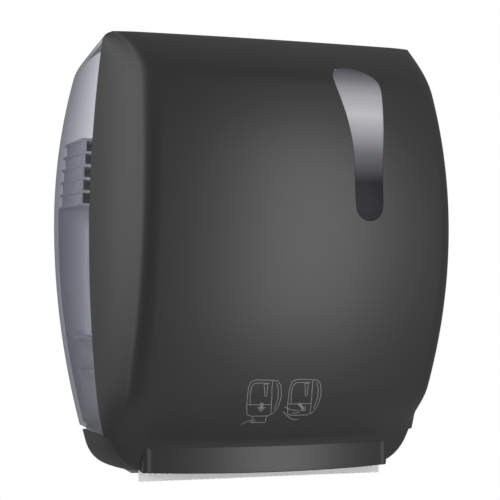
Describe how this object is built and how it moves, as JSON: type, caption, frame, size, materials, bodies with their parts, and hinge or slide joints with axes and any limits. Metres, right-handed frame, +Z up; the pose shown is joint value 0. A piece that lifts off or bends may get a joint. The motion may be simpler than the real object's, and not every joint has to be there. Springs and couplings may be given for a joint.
{
  "type": "sensor paper towel dispenser",
  "caption": "Wall dispenser for a paper towel roll: bowed black cover with a smoked hood and sight window, hinged at the foot over a motor feed, tear bar and hand sensor.",
  "frame": {"origin": "on the wall face, at the centre of the wall screw pattern", "axes": "+X to the right as seen from the front, +Y into the wall, +Z up; the front faces -Y"},
  "size_m": [0.3268, 0.2211, 0.3798],
  "materials": {
    "cover_black": "satin",
    "smoke_clear": "gloss",
    "chassis_grey": "matte",
    "chassis_dark": "matte",
    "holder_pale": "satin",
    "steel": "satin",
    "spring_steel": "satin",
    "lock_metal": "polished",
    "roller_grey": "satin",
    "grip_rubber": "matte",
    "gear_white": "satin",
    "paper_white": "matte",
    "core_card": "matte",
    "motor_can": "satin",
    "cell_wrap": "gloss",
    "board_green": "satin",
    "button_blue": "satin",
    "lens_dark": "gloss",
    "light_green": "gloss"
  },
  "bodies": {
    "chassis": {"back_plate": "chassis_grey", "side_frame_left": "chassis_grey", "side_frame_right": "chassis_grey", "bottom_tray": "chassis_grey", "rear_guide": "chassis_grey", "battery_box": "chassis_grey", "exit_housing": "chassis_dark", "control_panel": "chassis_dark", "dc_inlet": "chassis_dark", "roll_arm_left": "holder_pale", "roll_arm_right": "holder_pale", "hub_left": "holder_pale", "hub_post": "holder_pale", "hinge_pin_left": "steel", "hinge_pin_right": "steel", "tear_bar": "steel", "idler_pin": "steel", "lock_striker": "steel", "hub_spring": "spring_steel", "battery_contacts": "spring_steel", "feed_bush_left": "gear_white", "feed_bush_right": "gear_white", "towel_tail": "paper_white", "motor": "motor_can", "battery_cells": "cell_wrap", "main_board": "board_green", "sensor_board": "board_green", "sensor_lens": "lens_dark", "led_pipe": "light_green"},
    "cover": {"front_cover": "cover_black", "smoke_hood": "smoke_clear", "window_insert": "smoke_clear", "hinge_arm_left": "cover_black", "hinge_arm_right": "cover_black", "lock_barrel": "lock_metal"},
    "lock": {"lock_plug": "lock_metal", "lock_cam": "steel"},
    "roll": {"roll_core": "core_card", "paper_roll": "paper_white"},
    "hub": {"hub_right": "holder_pale"},
    "feed": {"feed_roller": "roller_grey", "feed_sleeve_left": "grip_rubber", "feed_sleeve_middle": "grip_rubber", "feed_sleeve_right": "grip_rubber", "drive_gear": "gear_white"},
    "pinch": {"pinch_roller": "roller_grey"},
    "idler": {"idler_gear": "gear_white"},
    "pinion": {"motor_pinion": "gear_white"},
    "battery_door": {"battery_lid": "chassis_grey"},
    "button": {"feed_button": "button_blue"},
    "selector": {"length_selector": "chassis_dark"},
    "switch": {"power_switch": "chassis_dark"}
  },
  "joints": [
    {"name": "cover_hinge", "type": "hinge", "parent": "chassis", "child": "cover", "pos_m": [0, -0.03, -0.172], "axis": [1, 0, 0], "range_deg": [0, 95]},
    {"name": "lock_turn", "type": "hinge", "parent": "cover", "child": "lock", "pos_m": [0, -0.06, 0.17], "axis": [0, 0, 1], "range_deg": [0, 90]},
    {"name": "roll_spin", "type": "hinge", "parent": "chassis", "child": "roll", "pos_m": [0, -0.105, 0.062], "axis": [1, 0, 0], "continuous": true},
    {"name": "hub_slide", "type": "slide", "parent": "chassis", "child": "hub", "axis": [1, 0, 0], "range_m": [0, 0.012], "deforming": ["hub_spring"]},
    {"name": "feed_spin", "type": "hinge", "parent": "chassis", "child": "feed", "pos_m": [0, -0.0764, -0.118], "axis": [1, 0, 0], "continuous": true},
    {"name": "pinch_spin", "type": "hinge", "parent": "chassis", "child": "pinch", "pos_m": [0, -0.1006, -0.118], "axis": [1, 0, 0], "continuous": true},
    {"name": "idler_spin", "type": "hinge", "parent": "chassis", "child": "idler", "pos_m": [0, -0.05335, -0.09495], "axis": [1, 0, 0], "continuous": true},
    {"name": "pinion_spin", "type": "hinge", "parent": "chassis", "child": "pinion", "pos_m": [0, -0.03914, -0.08074], "axis": [1, 0, 0], "continuous": true},
    {"name": "battery_lid_hinge", "type": "hinge", "parent": "chassis", "child": "battery_door", "pos_m": [0, -0.05, -0.095], "axis": [1, 0, 0], "range_deg": [0, 55]},
    {"name": "feed_button_press", "type": "slide", "parent": "chassis", "child": "button", "axis": [0, 1, 0], "range_m": [0, 0.0025]},
    {"name": "length_selector_slide", "type": "slide", "parent": "chassis", "child": "selector", "axis": [1, 0, 0], "range_m": [0, 0.0134]},
    {"name": "power_switch_slide", "type": "slide", "parent": "chassis", "child": "switch", "axis": [1, 0, 0], "range_m": [0, 0.0064]}
  ],
  "couplings": [
    {"joint": "roll_spin", "follows": "feed_spin", "ratio": 0.17073},
    {"joint": "pinch_spin", "follows": "feed_spin", "ratio": -1.5556},
    {"joint": "idler_spin", "follows": "feed_spin", "ratio": -1.6},
    {"joint": "pinion_spin", "follows": "feed_spin", "ratio": 2.6667}
  ]
}
